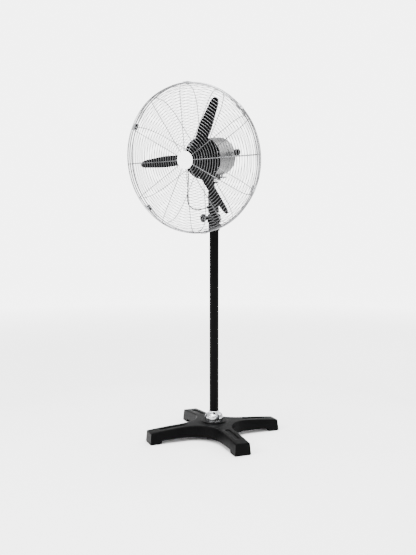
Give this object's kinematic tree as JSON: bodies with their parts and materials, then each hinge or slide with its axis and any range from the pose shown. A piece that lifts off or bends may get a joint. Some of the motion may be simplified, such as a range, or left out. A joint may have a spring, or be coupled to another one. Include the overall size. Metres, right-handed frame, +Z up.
{
  "type": "pedestal fan",
  "caption": "Tall pedestal fan: cast cross base, steel pole, tilting and oscillating motor head, dished wire guard and paddle blades.",
  "frame": {"origin": "on the floor under the pole's axis, level with the undersides of the foot pads", "axes": "+Z up along the pole, -Y towards the front of the fan with the head straight, +X to the right as seen from the front"},
  "size_m": [0.7869, 0.6969, 1.9337],
  "materials": {
    "cast_iron_black": "black enamel over a sand casting, semi-gloss",
    "rubber_black": "moulded rubber, matt",
    "chrome_casting": "polished and plated casting",
    "steel_dark": "black oxide",
    "pole_black": "black gloss paint",
    "plastic_black": "moulded, fine texture",
    "bracket_black": "black enamel, semi-gloss",
    "steel_plated": "zinc plated",
    "bronze": "sintered bronze",
    "motor_grey": "grey stoved enamel, semi-gloss",
    "motor_black": "black enamel, satin",
    "lamination": "stamped electrical steel",
    "copper": "enamelled copper wire",
    "zinc_casting": "as cast",
    "plastic_white": "moulded",
    "lead_black": "sheathed flexible lead",
    "wire_chrome": "bright plated wire",
    "rim_chrome": "bright plated rod and sheet",
    "badge_white": "blank white disc, gloss",
    "clip_steel": "bright plated strip",
    "blade_black": "black powder coat on aluminium",
    "nylon_natural": "moulded nylon"
  },
  "bodies": {
    "stand": {"base_casting": "cast_iron_black", "foot_pads": "rubber_black", "pole_collar": "chrome_casting", "collar_bolts": "steel_dark", "collar_set_screw": "steel_dark", "pole": "pole_black", "inlet_gland": "plastic_black", "tilt_bracket": "bracket_black", "clamp_screw": "steel_dark", "tilt_bolt": "steel_plated", "tilt_washers": "steel_plated"},
    "tilt_knob": {"tilt_knob": "plastic_black"},
    "neck": {"neck_casting": "bracket_black", "swivel_bush": "bronze", "link_pin": "steel_plated", "neck_gland": "plastic_black"},
    "link": {"crank_link": "steel_dark"},
    "head": {"motor_saddle": "bracket_black", "swivel_pin": "steel_plated", "saddle_bolts": "steel_dark", "motor_shell": "motor_grey", "front_bell": "motor_black", "rear_bell": "motor_grey", "tie_bolts": "steel_dark", "front_bearing": "steel_plated", "rear_bearing": "steel_plated", "stator_core": "lamination", "windings": "copper", "gearbox_housing": "zinc_casting", "rear_cover": "motor_grey", "cover_screws": "steel_plated", "speed_switch": "plastic_black", "run_capacitor": "plastic_white", "lead_gland": "plastic_black", "motor_lead": "lead_black", "guard_ring": "wire_chrome", "guard_screws": "steel_plated", "front_hoops": "wire_chrome", "rear_hoops": "wire_chrome", "front_ribs": "wire_chrome", "rear_ribs": "wire_chrome", "front_rim": "rim_chrome", "rear_rim": "rim_chrome", "hub_plate": "rim_chrome", "badge": "badge_white", "rim_clips": "clip_steel", "clip_screws": "steel_plated"},
    "rotor": {"motor_shaft": "steel_plated", "rotor_core": "lamination", "blade_hub": "blade_black", "blade_1": "blade_black", "blade_2": "blade_black", "blade_3": "blade_black", "blade_rivets": "steel_dark", "hub_nut": "steel_plated"},
    "crank": {"oscillating_crank": "steel_plated", "worm_wheel": "nylon_natural"},
    "clutch": {"clutch_rod": "steel_plated", "clutch_knob": "plastic_black"},
    "speed_knob": {"speed_knob": "plastic_black"}
  },
  "joints": [
    {"name": "head_tilt", "type": "hinge", "parent": "stand", "child": "neck", "pos_m": [0, 0, 1.24], "axis": [1, 0, 0], "range_deg": [-25, 12]},
    {"name": "tilt_knob_turn", "type": "hinge", "parent": "stand", "child": "tilt_knob", "pos_m": [-0.06, 0, 1.24], "axis": [1, 0, 0], "continuous": true},
    {"name": "head_swivel", "type": "hinge", "parent": "neck", "child": "head", "pos_m": [0, -0.03198, 1.43743], "axis": [0, -0.1599, 0.9871], "range_deg": [-35, 35], "deforming": ["motor_lead"]},
    {"name": "link_swing", "type": "hinge", "parent": "neck", "child": "link", "pos_m": [-0.02911, -0.02561, 1.44352], "axis": [0, -0.1599, 0.9871], "range_deg": [-34, 34]},
    {"name": "crank_turn", "type": "hinge", "parent": "head", "child": "crank", "pos_m": [0.022, 0.05169, 1.47124], "axis": [0, -0.1599, 0.9871], "range_deg": [-62, 62]},
    {"name": "fan_spin", "type": "hinge", "parent": "head", "child": "rotor", "pos_m": [0, -0.24433, 1.53949], "axis": [0, -0.9871, -0.1599], "continuous": true},
    {"name": "clutch_pull", "type": "slide", "parent": "head", "child": "clutch", "axis": [1, 0, 0], "range_m": [-0.008, 0]},
    {"name": "speed_turn", "type": "hinge", "parent": "head", "child": "speed_knob", "pos_m": [-0.042, 0.0686, 1.59017], "axis": [0, -0.9871, -0.1599], "range_deg": [-135, 0]}
  ],
  "couplings": [
    {"joint": "crank_turn", "follows": "head_swivel", "ratio": -1.75},
    {"joint": "link_swing", "follows": "head_swivel", "ratio": 0.95}
  ]
}
